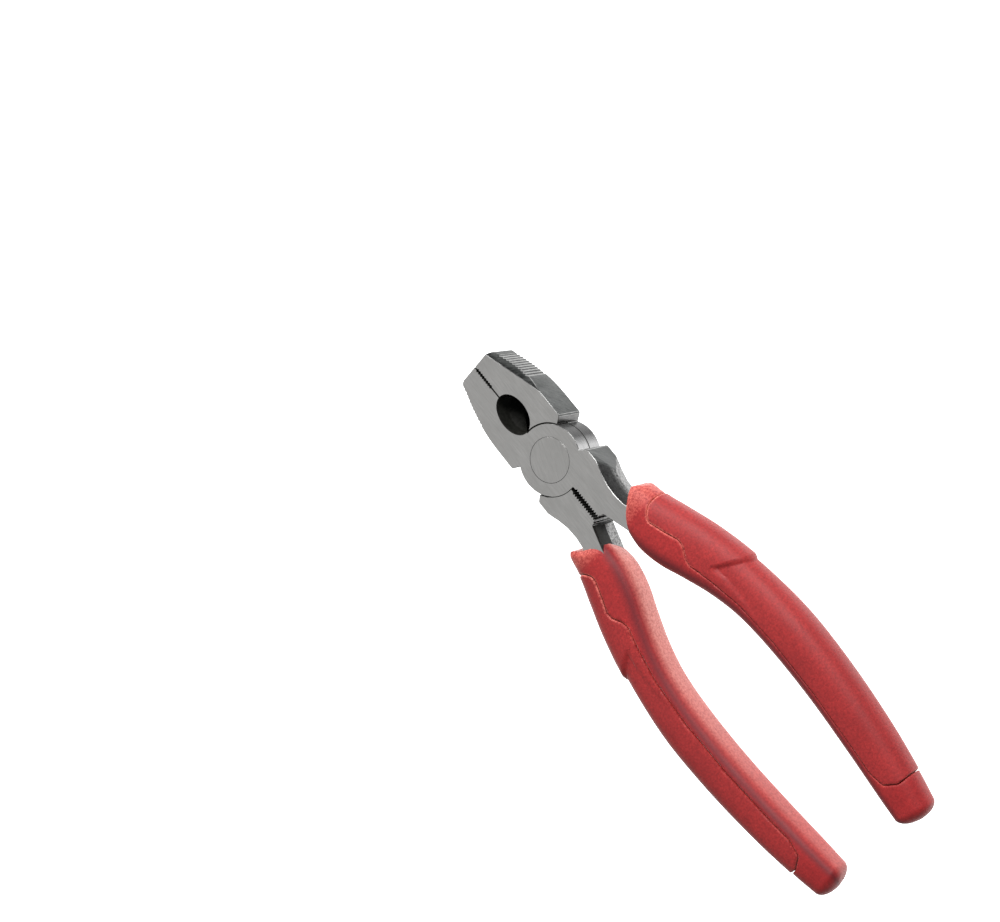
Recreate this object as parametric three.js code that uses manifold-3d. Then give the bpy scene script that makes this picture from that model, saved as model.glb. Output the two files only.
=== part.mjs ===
// Lineman pliers: two forged levers on one rivet, each handle in a two-shot moulded grip.
//
// Millimetres. The pliers lie flat, closed: +Y runs from the pivot to the nose, +Z out of the
// front face. The origin is on the pivot axis, at the back face of the head.
// One lever turned half a turn about the Y line at mid-thickness gives the other, apart from the
// throat, whose knives sit near the back face on both jaws.

import * as THREE from 'three';
import { mergeVertices } from 'three/addons/utils/BufferGeometryUtils.js';
import Module from 'manifold-3d';

const wasm = await Module();
wasm.setup();

// ---- driving dimensions -------------------------------------------------------------------

const THICKNESS = 15.6; // head and steel handles, face to face
const MID = THICKNESS / 2;
const HEAD_HALF = 15.9; // half of the head's width
const NOSE_Y = 50; // pivot to the tip of the nose
const FIT = 0.3; // gap between pieces that bear on each other

const LOBE_R = 14.5; // half-thickness disc around the rivet
const RECESS_R = LOBE_R + FIT; // hollow in the other lever that the disc turns in

const RIVET_R = 9.1; // flush countersunk head
const RIVET_SHANK_R = 5.6;
const RIVET_RIM = 0.7; // straight rim of the head
const RIVET_HEAD_DEPTH = 3;
const RIVET_GAP = 0.15;

const JAW_FOOT = { inner: [12.5, 7.5], corner: [15.5, 9.1] }; // heel of the jaw, beside the disc
const JAW_BOW_Y = 19; // the jaw's side is straight up to here
const JAW_BOW_R = 70;
const NOSE_CORNER = 2.4;
const SIDE_TEETH = { from: 31, to: 46.5, pitch: 1.55, depth: 0.45 };

const THROAT = { y: 24.1, halfWidth: 6.3, halfLength: 9.2, waistZ: 8.2 };
const KNIFE = { z: 3.2, backHalfWidth: 3.4, backHalfLength: 7.6 };

const REAM = { startY: 22.5, endY: 44, faceWidth: 2.1, depth: 3.9 };

const SHOULDER = { notch: [13.1, 6.4], top: 8, flat: 14.1 }; // distances below the pivot
const INNER_FLAT = 0.8; // half of the gap between the serrated inner flats
const FLAT_CORNER = [3.6, -31.4]; // where the facet below each flat ends
const PARTING_RIDGE = 2.1; // how far the parting line stands out on the palm side
const PARTING_CROWN = 0.5; // and on the inner side
const FISH_TEETH = { from: 16, to: 30.2, pitch: 1.18, depth: 0.42 };
const FACET_TEETH = { count: 2, depth: 0.8 }; // cut across that facet

const STEEL = '#93928f';
const GRIP_RED = '#a3282b';
const PANEL_RED = '#ab2e30';

// Rows down the handle: centre x, centre y, tilt of the section in degrees, half width, half
// thickness. Every section stands on the front-to-back line through its centre.
const GRIP_ROWS = [
  [14.0, -35.5, 38, 10.9, 8.9],
  [14.7, -45.4, 28, 11.6, 9.0],
  [17.9, -56, 22, 12.2, 9.0],
  [22.2, -67, 19, 11.8, 9.0],
  [26.4, -80, 14, 11.0, 9.0],
  [29.2, -94, 7, 10.3, 9.0],
  [30.3, -112, 1, 9.9, 9.0],
  [29.6, -136, -4.5, 9.5, 8.8],
  [27.2, -160, -7.5, 9.0, 8.5],
  [24.4, -179, -9.5, 8.2, 8.0],
  [22.9, -188, -10, 7.6, 7.4],
];
const TANG_ROWS = [
  [10.4, -38, 24, 4.3, 6.3],
  [14.2, -50, 24, 4.3, 6.3],
  [20.2, -63, 20, 4.2, 6.2],
  [26.4, -80, 14, 4.1, 6.0],
  [30.1, -112, 1, 3.9, 5.7],
  [27.4, -158, -7.5, 3.5, 5.2],
  [25.2, -174, -9, 3.1, 4.8],
];
const PALM_POWER = 2.3; // superellipse powers: the palm side is rounder than the inner side
const INNER_POWER = 2.9;
const TANG_POWER = 4.5;
const COLLAR_CORNER = [[17.6, -30], [26.5, -37.2]]; // line that takes the corner off the collar

// Edge of the palm panel on the front face, from the collar to the handle's end.
const PANEL_EDGE = [
  [44, -38.5], [24.5, -40.4], [21.2, -41.4], [18.2, -44.2], [17.3, -46.6], [19.8, -53.7],
  [22.4, -59.6], [22.1, -62.6], [19.5, -66.7], [18.9, -69.6], [21.4, -78.5], [24.4, -92.6],
  [25.6, -112], [25, -136], [22.9, -160], [21.8, -169], [23, -175.5], [28, -178.5], [44, -178.5],
];
const PANEL_RAISE = 0.3;
const PANEL_THICKNESS = 2.0;
const PANEL_GROOVE = 0.4;

// ---- meshes and booleans ------------------------------------------------------------------

// A closed three.js geometry as a manifold solid, its shared vertices merged.
function solid(geometry) {
  const bare = geometry.clone();
  bare.deleteAttribute('normal');
  bare.deleteAttribute('uv');
  const merged = mergeVertices(bare, 1e-4);
  const vertProperties = new Float32Array(merged.attributes.position.array);
  const triVerts = new Uint32Array(merged.index.array);
  return new wasm.Manifold(new wasm.Mesh({ numProp: 3, vertProperties, triVerts }));
}

function geometryOf(body) {
  const mesh = body.getMesh();
  const geometry = new THREE.BufferGeometry();
  geometry.setAttribute('position', new THREE.BufferAttribute(mesh.vertProperties, 3));
  geometry.setIndex(new THREE.BufferAttribute(mesh.triVerts, 1));
  const faceted = geometry.toNonIndexed();
  faceted.computeVertexNormals();
  return faceted;
}

function vectors(points) {
  return points.map(([x, y]) => new THREE.Vector2(x, y));
}

// A solid through outlines with matching points, one outline at each height.
function stack(outlines, heights) {
  const rings = outlines.map(vectors);
  if (THREE.ShapeUtils.isClockWise(rings[0])) rings.forEach((ring) => ring.reverse());
  const count = rings[0].length;
  const top = rings.length - 1;
  const positions = rings.flatMap((ring, k) => ring.flatMap((p) => [p.x, p.y, heights[k]]));
  const index = [];
  for (let k = 0; k < top; k += 1) {
    for (let i = 0; i < count; i += 1) {
      const a = k * count + i;
      const b = k * count + ((i + 1) % count);
      index.push(a, b, b + count, a, b + count, a + count);
    }
  }
  for (const [a, b, c] of THREE.ShapeUtils.triangulateShape(rings[0], [])) index.push(c, b, a);
  for (const face of THREE.ShapeUtils.triangulateShape(rings[top], [])) {
    index.push(...face.map((i) => top * count + i));
  }
  const geometry = new THREE.BufferGeometry();
  geometry.setAttribute('position', new THREE.Float32BufferAttribute(positions, 3));
  geometry.setIndex(index);
  return solid(geometry);
}

function prism(points, low, high) {
  return stack([points, points], [low, high]);
}

// A closed outline with every edge moved outwards by "grow".
function swollen(points, grow) {
  const ring = vectors(points);
  const side = THREE.ShapeUtils.isClockWise(ring) ? -grow : grow;
  const normal = (from, to) => new THREE.Vector2(to.y - from.y, from.x - to.x).normalize();
  return ring.map((point, i) => {
    const first = normal(ring.at(i - 1), point);
    const second = normal(point, ring[(i + 1) % ring.length]);
    const miter = first.add(second).normalize();
    const reach = side / miter.dot(second);
    return [point.x + reach * miter.x, point.y + reach * miter.y];
  });
}

function cylinder(radius, low, high) {
  const geometry = new THREE.CylinderGeometry(radius, radius, high - low, 80);
  geometry.rotateX(Math.PI / 2);
  geometry.translate(0, 0, (low + high) / 2);
  return solid(geometry);
}

// Half a turn about the Y line at mid-thickness, which swaps the two levers.
function turned(body) {
  const geometry = geometryOf(body);
  geometry.rotateY(Math.PI);
  geometry.translate(0, 0, THICKNESS);
  return solid(geometry);
}

// ---- the rivet ----------------------------------------------------------------------------

function rivetGeometry(gap) {
  const head = RIVET_R + gap;
  const shank = RIVET_SHANK_R + gap;
  const reach = gap > 0 ? 1 : 0; // the clearance cutter runs out past both faces
  const profile = [
    [0, -reach], [head, -reach], [head, RIVET_RIM], [shank, RIVET_HEAD_DEPTH],
    [shank, THICKNESS - RIVET_HEAD_DEPTH], [head, THICKNESS - RIVET_RIM],
    [head, THICKNESS + reach], [0, THICKNESS + reach],
  ];
  const geometry = new THREE.LatheGeometry(vectors(profile), 56);
  geometry.rotateX(Math.PI / 2);
  return geometry;
}

// ---- the levers ---------------------------------------------------------------------------

// Points up and down a row of V teeth whose crests lie on the line x = edge(y).
function teeth({ from, to, pitch, depth }, edge, inward) {
  const points = [];
  const count = Math.round((to - from) / pitch);
  for (let i = 0; i < count; i += 1) {
    const crest = from + i * pitch;
    const root = crest + pitch / 2;
    points.push([edge(crest), crest], [edge(root) + inward * depth, root]);
  }
  points.push([edge(from + count * pitch), from + count * pitch]);
  return points;
}

function jawSide(y) {
  const rise = Math.max(0, y - JAW_BOW_Y);
  return -(HEAD_HALF - (rise * rise) / (2 * JAW_BOW_R));
}

// Left jaw seen from the front, running in under the disc so that the two join.
function jawOutline() {
  const [innerX, innerY] = JAW_FOOT.inner;
  const [cornerX, cornerY] = JAW_FOOT.corner;
  const side = [[-innerX, innerY], [-cornerX, cornerY], [-HEAD_HALF, cornerY + 0.7]];
  for (let y = JAW_BOW_Y; y < SIDE_TEETH.from; y += 3) side.push([jawSide(y), y]);
  const nose = jawSide(NOSE_Y - NOSE_CORNER);
  const corner = [];
  for (let angle = 180; angle >= 90; angle -= 15) {
    const turn = THREE.MathUtils.degToRad(angle);
    const x = nose + NOSE_CORNER + NOSE_CORNER * Math.cos(turn);
    corner.push([x, NOSE_Y - NOSE_CORNER + NOSE_CORNER * Math.sin(turn)]);
  }
  const serrated = teeth(SIDE_TEETH, jawSide, 1);
  return [[0 - FIT / 2, 0], ...side, ...serrated, ...corner, [-FIT / 2, NOSE_Y]];
}

// Right handle from the disc to the mouth of the grip. The forging's parting line at mid-thickness
// stands proud of both faces by "ridge" on the palm side and by "crown" on the inner side.
function handleOutline(ridge, crown) {
  const [notchX, notchY] = SHOULDER.notch;
  const waist = [[15.1, -16.6], [14, -19.6], [12.9, -24.3], [12.6, -29.4], [13.1, -34], [17.6, -44.5]];
  const palm = waist.map(([x, y]) => [x + ridge, y]);
  const flats = [
    [notchX, -notchY], [HEAD_HALF - 0.4, -SHOULDER.top], [HEAD_HALF, -SHOULDER.top - 0.6],
    [HEAD_HALF + ridge * 0.8, -SHOULDER.flat],
  ];
  const inner = [[9.2, -48], [7.2, -42], FLAT_CORNER].map(([x, y]) => [x - crown, y]);
  const [cornerX, cornerY] = inner.at(-1);
  const flatEnd = -FISH_TEETH.to;
  const steepness = (INNER_FLAT - cornerX) / (flatEnd - cornerY);
  const pitch = (flatEnd - cornerY) / FACET_TEETH.count;
  const facet = { from: cornerY, to: flatEnd, pitch, depth: FACET_TEETH.depth };
  const slanted = teeth(facet, (y) => cornerX + (y - cornerY) * steepness, 1).slice(1, -1);
  const down = { ...FISH_TEETH, from: flatEnd, to: -FISH_TEETH.from };
  return [[0, 0], ...flats, ...palm, ...inner, ...slanted, ...teeth(down, () => INNER_FLAT, 1)];
}

// The handle as forged, swollen by "grow" to cut its own socket.
function forging(grow) {
  const face = swollen(handleOutline(0, 0), grow);
  const parting = swollen(handleOutline(PARTING_RIDGE, PARTING_CROWN), grow);
  return stack([face, parting, face], [-grow, MID, THICKNESS + grow]);
}

function handleSolid() {
  const ground = prism(
    [[-1, 1], [HEAD_HALF, 1], [HEAD_HALF, -36], [30, -36], [30, -60], [-1, -60]], -1, THICKNESS + 1);
  return forging(0).intersect(ground);
}

// The oval throat: straight down to its waist, then two bevels meeting at the knives, with a
// shallower hollow behind them. Cut from both jaws of the closed pliers.
function throatSolid() {
  const ring = (halfWidth, halfLength) => {
    const points = [];
    for (let i = 0; i < 36; i += 1) {
      const angle = (i * Math.PI) / 18;
      points.push([halfWidth * Math.cos(angle), THROAT.y + halfLength * Math.sin(angle)]);
    }
    return points;
  };
  const mouth = ring(THROAT.halfWidth, THROAT.halfLength);
  const edge = ring(0.02, THROAT.halfLength - 0.5);
  const back = ring(KNIFE.backHalfWidth, KNIFE.backHalfLength);
  const front = stack([edge, mouth, mouth], [KNIFE.z, THROAT.waistZ, THICKNESS + 1]);
  const rear = stack([back, back, edge], [-1, 0, KNIFE.z - 0.1]);
  return front.add(rear);
}

// Wedge that bevels the back edge of the left jaw's side into a reaming edge.
function reamerSolid() {
  const tip = jawSide(REAM.endY);
  const a = new THREE.Vector3(jawSide(REAM.startY) - 0.05, REAM.startY, 0);
  const b = new THREE.Vector3(tip + REAM.faceWidth, REAM.endY, 0);
  const c = new THREE.Vector3(tip, REAM.endY, REAM.depth);
  const normal = b.clone().sub(a).cross(c.clone().sub(a)).normalize();
  if (normal.x > 0) normal.negate();
  const box = new THREE.BoxGeometry(60, 60, 60);
  box.translate(0, 0, 30);
  box.applyQuaternion(new THREE.Quaternion().setFromUnitVectors(new THREE.Vector3(0, 0, 1), normal));
  box.translate(a.x, a.y, a.z);
  return solid(box);
}

// Left jaw, front disc and right handle in one forging. The throat is given in this lever's own
// position, so the rear lever passes the turned one.
function leverSolid(throat) {
  const jaw = prism(jawOutline(), 0, THICKNESS).subtract(reamerSolid());
  const disc = cylinder(LOBE_R, 0, THICKNESS);
  const tang = tangBody(0);
  const joined = jaw.add(handleSolid()).add(disc).add(tang);
  const hollow = cylinder(RECESS_R, -1, MID + FIT / 2);
  return joined.subtract(hollow).subtract(throat).subtract(solid(rivetGeometry(RIVET_GAP)));
}

// ---- the grips ----------------------------------------------------------------------------

// One section: a rounded oblong across the handle, with its own power on the palm side.
function section([x, y, tilt, half, thick], { around, palmPower, innerPower }) {
  const angle = THREE.MathUtils.degToRad(tilt);
  const points = [];
  for (let i = 0; i < around; i += 1) {
    const turn = (2 * Math.PI * i) / around;
    const cos = Math.cos(turn);
    const sin = Math.sin(turn);
    const power = 2 / (cos > 0 ? palmPower : innerPower);
    const across = half * Math.sign(cos) * Math.abs(cos) ** power;
    const height = thick * Math.sign(sin) * Math.abs(sin) ** power;
    points.push([x + across * Math.cos(angle), y + across * Math.sin(angle), MID + height]);
  }
  return points;
}

// A smooth solid through the rows, swollen by "grow" all round and rounded off at its far end.
function sweep(rows, grow, shape) {
  const place = new THREE.CatmullRomCurve3(
    rows.map((row) => new THREE.Vector3(row[0], row[1], row[2])), false, 'centripetal');
  const size = new THREE.CatmullRomCurve3(
    rows.map((row) => new THREE.Vector3(row[3], row[4], 0)), false, 'centripetal');
  const rings = [];
  for (let i = 0; i <= shape.along; i += 1) {
    const at = place.getPoint(i / shape.along);
    const wide = size.getPoint(i / shape.along);
    rings.push([at.x, at.y, at.z, wide.x + grow, wide.y + grow]);
  }
  for (const share of [0.35, 0.65, 0.88]) rings.push(endRow(rows.at(-1), share, grow));
  return loft(rings.map((row) => section(row, shape)));
}

// A section of the rounded end, "share" of the way out from the last row.
function endRow([x, y, tilt, half, thick], share, grow) {
  const angle = THREE.MathUtils.degToRad(tilt);
  const shrink = Math.sqrt(1 - share * share);
  const step = share * thick * 0.6 + grow;
  return [x + step * Math.sin(angle), y - step * Math.cos(angle), tilt,
    half * shrink + grow, thick * shrink + grow];
}

// Skin over sections that share a point count, closed by a fan at each end.
function loft(sections) {
  const count = sections[0].length;
  const last = sections.length - 1;
  const positions = sections.flat(2);
  const index = [];
  for (let k = 0; k < last; k += 1) {
    for (let i = 0; i < count; i += 1) {
      const a = k * count + i;
      const b = k * count + ((i + 1) % count);
      index.push(a, b, b + count, a, b + count, a + count);
    }
  }
  for (let i = 1; i < count - 1; i += 1) {
    index.push(0, i + 1, i);
    index.push(last * count, last * count + i, last * count + i + 1);
  }
  const geometry = new THREE.BufferGeometry();
  geometry.setAttribute('position', new THREE.Float32BufferAttribute(positions, 3));
  geometry.setIndex(index);
  return solid(geometry);
}

// The panel's outline moved outwards by "grow", as a prism through the whole handle.
function panelPrism(grow) {
  return prism(swollen(PANEL_EDGE, grow), -5, THICKNESS + 5);
}

function gripBody(grow) {
  const shape = { around: 24, along: 18, palmPower: PALM_POWER, innerPower: INNER_POWER };
  const [from, to] = COLLAR_CORNER;
  const corner = prism([from, to, [to[0] + 9, to[1]], [to[0] + 9, 0], [from[0], 0]], -9, THICKNESS + 9);
  return sweep(GRIP_ROWS, grow, shape).subtract(corner);
}

function tangBody(grow) {
  return sweep(TANG_ROWS, grow, { around: 16, along: 12, palmPower: TANG_POWER, innerPower: TANG_POWER });
}

function gripSolids() {
  const tang = tangBody(FIT);
  const steel = forging(FIT);
  const seat = panelPrism(PANEL_GROOVE / 2).subtract(gripBody(-PANEL_THICKNESS - FIT));
  const base = gripBody(0).subtract(seat).subtract(steel).subtract(tang);
  const panel = gripBody(PANEL_RAISE)
    .intersect(panelPrism(-PANEL_GROOVE / 2))
    .subtract(gripBody(-PANEL_THICKNESS));
  return { base, panel };
}

// ---- the pliers ---------------------------------------------------------------------------

function finish(color, roughness, metalness) {
  return new THREE.MeshStandardMaterial({ color, roughness, metalness });
}

function named(name, geometry, material, rear) {
  const mesh = new THREE.Mesh(geometry, material);
  mesh.name = name;
  if (rear) {
    mesh.rotation.y = Math.PI;
    mesh.position.z = THICKNESS;
  }
  return mesh;
}

function pliers() {
  const group = new THREE.Group();
  const steel = finish(STEEL, 0.38, 1);
  const gripRed = finish(GRIP_RED, 0.62, 0);
  const panelRed = finish(PANEL_RED, 0.7, 0);
  const throat = throatSolid();
  const grip = gripSolids();
  group.add(named('front_lever', geometryOf(leverSolid(throat)), steel, false));
  group.add(named('rear_lever', geometryOf(leverSolid(turned(throat))), steel, true));
  group.add(named('pivot_rivet', rivetGeometry(0), steel, false));
  group.add(named('front_grip_sleeve', geometryOf(grip.base), gripRed, false));
  group.add(named('front_grip_panel', geometryOf(grip.panel), panelRed, false));
  group.add(named('rear_grip_sleeve', geometryOf(grip.base), gripRed, true));
  group.add(named('rear_grip_panel', geometryOf(grip.panel), panelRed, true));
  return group;
}

export default pliers();
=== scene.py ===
# %% [markdown]
# # Lineman pliers
# The steel, the rivet and the grips were designed in CAD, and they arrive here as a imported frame. This
# lesson makes the surfaces that a person sees: edges that catch the light, teeth that bite, and a
# moulded grip in two pieces. Every new piece is made where its CAD solid is, so it opens and closes
# with it.

# %% Load the frame
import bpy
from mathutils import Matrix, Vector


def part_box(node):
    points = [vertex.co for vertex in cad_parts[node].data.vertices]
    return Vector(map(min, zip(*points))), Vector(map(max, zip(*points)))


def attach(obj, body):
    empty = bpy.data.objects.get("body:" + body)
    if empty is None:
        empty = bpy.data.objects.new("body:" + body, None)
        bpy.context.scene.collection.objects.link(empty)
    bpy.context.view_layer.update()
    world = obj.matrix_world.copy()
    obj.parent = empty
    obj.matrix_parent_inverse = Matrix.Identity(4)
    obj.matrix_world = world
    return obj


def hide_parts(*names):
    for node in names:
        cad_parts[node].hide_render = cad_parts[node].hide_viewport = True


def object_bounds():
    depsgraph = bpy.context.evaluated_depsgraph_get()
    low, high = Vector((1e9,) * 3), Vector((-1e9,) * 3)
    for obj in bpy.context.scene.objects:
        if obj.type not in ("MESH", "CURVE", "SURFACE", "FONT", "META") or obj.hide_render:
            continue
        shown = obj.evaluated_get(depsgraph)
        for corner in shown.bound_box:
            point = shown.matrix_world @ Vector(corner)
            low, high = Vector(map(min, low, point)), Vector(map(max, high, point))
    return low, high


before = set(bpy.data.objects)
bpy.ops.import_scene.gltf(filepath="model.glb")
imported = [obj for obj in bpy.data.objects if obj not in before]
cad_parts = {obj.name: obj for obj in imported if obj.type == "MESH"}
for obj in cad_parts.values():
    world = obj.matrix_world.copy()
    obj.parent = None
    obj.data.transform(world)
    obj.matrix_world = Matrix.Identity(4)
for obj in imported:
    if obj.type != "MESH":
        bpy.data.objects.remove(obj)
cad_low, cad_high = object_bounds()
print("size in mm:", [round(1000 * side, 1) for side in cad_high - cad_low])

# %% [markdown]
# The pliers lie closed with the rivet's axis on Z and the nose along +Y. Lengths below are written in
# millimetres, as on a drawing, and `MM` turns them into Blender's metres. The rivet gives the head's
# thickness, so nothing has to be typed twice.

# %% Units and the head's thickness
import math
import bmesh
import bpy
from mathutils import Matrix, Vector, kdtree

MM = 0.001
rivet_low, rivet_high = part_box("pivot_rivet")
THICKNESS = (rivet_high.z - rivet_low.z) / MM
MID = THICKNESS / 2
print("head thickness in mm:", round(THICKNESS, 2))

# %% [markdown]
# ## Camera
# A long lens keeps the handles from looking fat beside the jaws. The camera is built from three
# directions: where its right and its up point, and where it stands. A rotation matrix made of those
# three columns turns it without any angles to guess.

# %% Camera
CAMERA_PLACE = Vector((0.3349, -0.2040, 0.6029))
CAMERA_RIGHT = Vector((0.5742, -0.5916, -0.5660))
CAMERA_UP = Vector((0.6555, 0.7464, -0.1151))
camera_data = bpy.data.cameras.new("camera")
camera_data.lens = 64.8
camera_data.sensor_width = 36
camera = bpy.data.objects.new("camera", camera_data)
camera_back = CAMERA_RIGHT.cross(CAMERA_UP)
turn = Matrix((CAMERA_RIGHT, CAMERA_UP, camera_back)).transposed()
camera.matrix_world = Matrix.Translation(CAMERA_PLACE) @ turn.to_4x4()
bpy.context.scene.collection.objects.link(camera)
bpy.context.scene.camera = camera
print("camera stands", round(CAMERA_PLACE.length, 2), "m from the rivet")

# %% [markdown]
# ## Floor and light
# Polished steel shows its surroundings more than its own colour, so the studio is part of the finish.
# The pliers are held well above a pale floor. A pool of light on the floor shines back up at them, so
# whatever faces down and away is bright, and whatever faces the dimmer tent is dark: that contrast is
# what makes steel look like steel. A lamp beyond the nose and one on the right model the rounded
# grips, and a weak wide one overhead is what the ground faces mirror. The view transform is Standard,
# because the filmic one would grey the whites.


# %% Floor, tent and lamps
def flat_square(name, side, height):
    made = bmesh.new()
    bmesh.ops.create_grid(made, x_segments=1, y_segments=1, size=side / 2)
    bmesh.ops.translate(made, verts=made.verts, vec=(0, 0, height))
    mesh = bpy.data.meshes.new(name)
    made.to_mesh(mesh)
    made.free()
    square = bpy.data.objects.new(name, mesh)
    bpy.context.scene.collection.objects.link(square)
    return square


def area_lamp(name, place, aim, size, power):
    data = bpy.data.lights.new(name, "AREA")
    data.size = size
    data.energy = power
    lamp = bpy.data.objects.new(name, data)
    lamp.location = place
    lamp.rotation_euler = (Vector(aim) - Vector(place)).to_track_quat("-Z", "Y").to_euler()
    bpy.context.scene.collection.objects.link(lamp)
    return lamp


FLOOR_DROP = 350
FLOOR_SIDE = 8
TENT_LIGHT = 0.28
floor_height = cad_low.z - FLOOR_DROP * MM
floor = flat_square("floor", FLOOR_SIDE, floor_height)
area_lamp("nose_lamp", (0.15, 1.2, 0.5), (0, -0.05, 0), 0.5, 10)
area_lamp("right_lamp", (0.85, 0.35, 0.8), (0, -0.08, 0), 0.5, 15)
area_lamp("overhead_lamp", (-0.5, 0.3, 0.9), (0, 0, 0), 0.8, 1.3)

world = bpy.data.worlds.new("tent")
bpy.context.scene.world = world
world.use_nodes = True
world.node_tree.nodes["Background"].inputs["Color"].default_value = (1, 1, 1, 1)
world.node_tree.nodes["Background"].inputs["Strength"].default_value = TENT_LIGHT
bpy.context.scene.view_settings.view_transform = "Standard"
print("floor at", round(floor_height, 3), "m, lamps: 3")

# %% [markdown]
# ## Steel levers
# Each lever is one forging: a jaw, half of the round joint and a handle. Its CAD solid has every face
# in the right place, so a merged copy is the best blank to machine. Three things are added here.
# Cutter combs saw the teeth of the jaw and of the gap. Every open corner is broken with a narrow
# chamfer, as a grinder leaves it, and that is what catches the light. Then each face is told which
# tool made it, because a ground flat, a coarse ground flank and a forged skin don't shine alike.


# %% Copy a CAD solid and put a mesh back
def blank_from(node):
    """A merged copy of a CAD node's loose triangles."""
    made = bmesh.new()
    made.from_mesh(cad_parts[node].data)
    bmesh.ops.remove_doubles(made, verts=made.verts, dist=0.0005 * MM)
    return made


def piece_from(made, name, sharp_degrees):
    """A linked object from a bmesh, smooth except across edges sharper than the angle."""
    mesh = bpy.data.meshes.new(name)
    made.to_mesh(mesh)
    made.free()
    mesh.shade_smooth()
    mesh.set_sharp_from_angle(angle=math.radians(sharp_degrees))
    piece = bpy.data.objects.new(name, mesh)
    bpy.context.scene.collection.objects.link(piece)
    return piece


def cut_with(made, cutters, operation="DIFFERENCE"):
    """A bmesh after boolean cuts by the given bmeshes."""
    blank = piece_from(made, "blank", 30)
    tools = [piece_from(cutter, "cutter", 30) for cutter in cutters]
    for tool in tools:
        cut = blank.modifiers.new("cut", "BOOLEAN")
        cut.operation = operation
        cut.solver = "MANIFOLD"
        cut.object = tool
    bpy.context.view_layer.update()
    evaluated = blank.evaluated_get(bpy.context.evaluated_depsgraph_get())
    result = bmesh.new()
    result.from_mesh(evaluated.to_mesh())
    evaluated.to_mesh_clear()
    for left in [blank, *tools]:
        bpy.data.meshes.remove(left.data)  # its object goes with it
    return result


print("nodes to copy:", list(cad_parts))

# %% [markdown]
# A saw cut has the same V all the way through the head, so a cutter is an outline pushed through the
# thickness by an extrude. A boolean goes wrong with a cutter that is inside out, so `facing_out`
# measures the volume and turns the faces round when it is negative.


# %% Prisms
def facing_out(made):
    """Turns every face of a closed shape outwards."""
    made.normal_update()
    bmesh.ops.recalc_face_normals(made, faces=made.faces)
    if made.calc_volume(signed=True) < 0:
        bmesh.ops.reverse_faces(made, faces=made.faces)
    return made


def prism(points, low, high):
    """A closed prism over an outline of (x, y) points in millimetres."""
    made = bmesh.new()
    corners = [made.verts.new((x * MM, y * MM, low * MM)) for x, y in points]
    face = made.faces.new(corners)
    grown = bmesh.ops.extrude_face_region(made, geom=[face], use_keep_orig=True)
    top = [item for item in grown["geom"] if isinstance(item, bmesh.types.BMVert)]
    bmesh.ops.translate(made, verts=top, vec=(0, 0, (high - low) * MM))
    return facing_out(made)


trial = prism([(0, 0), (1, 0), (0, 1)], 0, THICKNESS)
print("a trial prism holds", round(trial.calc_volume() / MM**3, 2), "cubic mm")
trial.free()

# %% [markdown]
# Three combs cut the teeth of one lever. The first saws the gripping face of the jaw. The second
# deepens the pointed teeth along the gap between the handles, which hold a pulled wire. The third cuts
# narrow grooves across the facet just below them. They are drawn for the front lever and turned over
# for the rear one.

# %% Combs for the teeth
CUT_PAST = 2  # how far a comb sticks out of the head at both ends
JAW_TEETH = {"start": 38.6, "pitch": 1.25, "count": 8, "crest_x": -0.16, "root_x": -0.65, "open_x": 0}
GAP_TEETH = {"start": -30.2, "pitch": 1.18, "count": 12, "crest_x": 0.7, "root_x": 1.6, "open_x": 0.5}
FACET_GROOVES = [(1.4, -29.95), (1.95, -30.0), (2.75, -30.5), (3.3, -30.6)]  # roots, in the steel
FACET_GROOVE_HALF = 0.26
FACET_START = (0.7, -30.75)  # the comb's back follows the facet from here, clear of the steel
FACET_FALL = 0.33
FACET_BACK = [(3.57, -31.7), (3.0, -32.2), (0.4, -31.3)]


def saw_comb(start, pitch, count, crest_x, root_x, open_x):
    """A comb of V teeth from start upwards, with its crests and roots at their own x."""
    points = []
    for tooth in range(count):
        crest = start + tooth * pitch
        points += [(crest_x, crest), (root_x, crest + pitch / 2)]
    end = start + count * pitch
    points += [(crest_x, end), (open_x, end), (open_x, start)]
    return prism(points, -CUT_PAST, THICKNESS + CUT_PAST)


def facet_comb():
    """Narrow grooves across the facet, each with its root inside the steel."""
    start_x, start_y = FACET_START
    points = [FACET_START]
    for x, root in FACET_GROOVES:
        below = start_y - FACET_FALL * (x - start_x)
        points += [(x - FACET_GROOVE_HALF, below), (x, root), (x + FACET_GROOVE_HALF, below)]
    return prism(points + FACET_BACK, -CUT_PAST, THICKNESS + CUT_PAST)


def turn_over(made):
    """Half a turn about the Y line at mid-thickness, which swaps the two levers."""
    bmesh.ops.rotate(
        made, verts=made.verts, cent=(0, 0, MID * MM), matrix=Matrix.Rotation(math.pi, 3, "Y"))
    return made


print("teeth on the jaw:", JAW_TEETH["count"], "along the gap:", GAP_TEETH["count"])

# %% [markdown]
# A chamfer of a fifth of a millimetre is enough to draw a bright line along an edge. Only edges where
# two faces really meet at a corner are broken. The seams of the joint stay sharp: there the two levers
# were ground together, and only a hairline shows between them. The teeth along the gap stay sharp too.

# %% Break the corners
CHAMFER = 0.18
CORNER_DEGREES = 28
JOINT_R = 14.5
JOINT_OPEN_X = 11.0  # beyond this the joint's arc is an open edge
HAIRLINE_TOP = 5.0
RIVET_CLEAR = 10.0
SEAM_NEAR = 0.6
GAP_LOW, GAP_HIGH, GAP_HALF = -32, -14, 3.8


def from_arc(point):
    return abs(math.hypot(point.x, point.y) - JOINT_R)


def kept_sharp(point):
    """Whether a corner lies on a hairline seam: round the rivet, and below it between the levers."""
    on_arc = from_arc(point) < SEAM_NEAR and abs(point.x) < JOINT_OPEN_X and point.y < HAIRLINE_TOP
    return math.hypot(point.x, point.y) < RIVET_CLEAR or on_arc


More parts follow.
